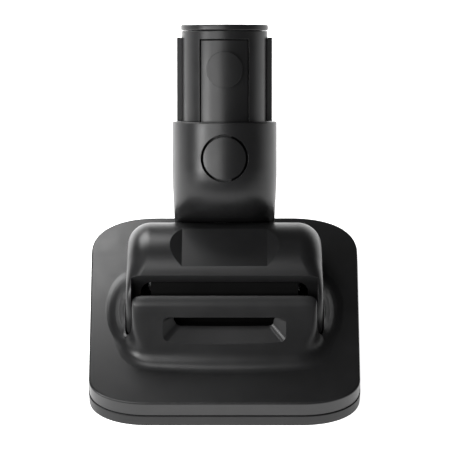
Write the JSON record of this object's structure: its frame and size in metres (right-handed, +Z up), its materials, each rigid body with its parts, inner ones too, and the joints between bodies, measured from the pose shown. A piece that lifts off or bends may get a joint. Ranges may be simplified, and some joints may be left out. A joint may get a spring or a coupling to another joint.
{
  "type": "pivoting motorised vacuum brush head",
  "caption": "Black motorised brush head with a pivoting hood, round release button and a slotted quick-release neck.",
  "frame": {"origin": "on the floor, on the sole face straight under the neck pivot", "axes": "+Z up, -Y towards the front edge of the head, +X to the right seen from the front"},
  "size_m": [0.154, 0.2, 0.149],
  "materials": {
    "shell_black": "satin moulded plastic",
    "sole_black": "fine matt moulded plastic",
    "inner_black": "matt moulded plastic",
    "steel": "plain steel",
    "brass": "plain brass",
    "rubber": "soft matt rubber",
    "felt": "short dark pile",
    "board_green": "solder mask",
    "connector_white": "natural nylon"
  },
  "bodies": {
    "head": {"top_cover": "shell_black", "sole_plate": "sole_black", "brush_chamber": "inner_black", "inner_shroud": "inner_black", "front_lint_strip": "felt", "rear_lint_strip": "felt", "brush_bearing_left": "brass", "brush_bearing_right": "brass", "motor_can": "steel", "motor_cradle": "inner_black", "drive_belt": "rubber", "pivot_bracket_left": "inner_black", "pivot_bracket_right": "inner_black", "pivot_pin_left": "steel", "pivot_pin_right": "steel", "control_board": "board_green", "board_post_front": "inner_black", "board_post_rear": "inner_black", "board_capacitor": "inner_black", "wire_connector": "connector_white", "air_hose": "rubber", "roller_axle_left": "steel", "roller_axle_right": "steel", "sole_screw_1": "steel", "sole_screw_2": "steel", "sole_screw_3": "steel", "sole_screw_4": "steel", "sole_screw_5": "steel", "sole_screw_6": "steel"},
    "neck": {"hood_shell": "shell_black", "neck_sleeve": "shell_black", "neck_tube": "shell_black", "spigot_collar": "shell_black", "key_rail_left": "shell_black", "contact_rail_right": "sole_black", "contact_pin_1": "brass", "contact_pin_2": "brass", "latch_pivot_pin": "steel", "latch_spring": "steel", "neck_screw_1": "steel", "neck_screw_2": "steel", "pivot_bush_left": "brass", "pivot_bush_right": "brass"},
    "latch": {"latch_lever": "shell_black"},
    "button": {"release_button": "shell_black"},
    "brush": {"brush_core": "inner_black", "brush_axle": "steel", "brush_pulley": "steel", "bristle_strip_1": "felt", "bristle_strip_2": "felt", "rubber_blade_1": "rubber", "rubber_blade_2": "rubber"},
    "rotor": {"motor_shaft": "steel", "motor_pinion": "brass"},
    "lock": {"brush_lock": "sole_black"},
    "left_wheel": {"roller_left": "rubber"},
    "right_wheel": {"roller_right": "rubber"}
  },
  "joints": [
    {"name": "neck_pitch", "type": "hinge", "parent": "head", "child": "neck", "pos_m": [0, 0, 0.0285], "axis": [1, 0, 0], "range_deg": [-15, 10], "deforming": ["air_hose"]},
    {"name": "button_press", "type": "slide", "parent": "neck", "child": "button", "axis": [0, 0.7071, -0.7071], "range_m": [0, 0.0008], "stiffness_N_per_m": 800},
    {"name": "latch_swing", "type": "hinge", "parent": "neck", "child": "latch", "pos_m": [0, 0.03005, 0.08118], "axis": [-1, 0, 0], "range_deg": [0, 2.7], "deforming": ["latch_spring"]},
    {"name": "brush_spin", "type": "hinge", "parent": "head", "child": "brush", "pos_m": [0, -0.0335, 0.0133], "axis": [1, 0, 0], "continuous": true},
    {"name": "motor_spin", "type": "hinge", "parent": "head", "child": "rotor", "pos_m": [0, 0.0005, 0.021], "axis": [1, 0, 0], "continuous": true},
    {"name": "brush_lock_turn", "type": "hinge", "parent": "head", "child": "lock", "pos_m": [0.0615, -0.0335, 0], "axis": [0, 0, 1], "range_deg": [0, 90]},
    {"name": "left_roller_spin", "type": "hinge", "parent": "head", "child": "left_wheel", "pos_m": [-0.055, 0.038, 0.0042], "axis": [1, 0, 0], "continuous": true},
    {"name": "right_roller_spin", "type": "hinge", "parent": "head", "child": "right_wheel", "pos_m": [0.055, 0.038, 0.0042], "axis": [1, 0, 0], "continuous": true}
  ],
  "couplings": [
    {"joint": "latch_swing", "follows": "button_press", "rad_per_m": 57.143},
    {"joint": "motor_spin", "follows": "brush_spin", "ratio": 1.5}
  ]
}
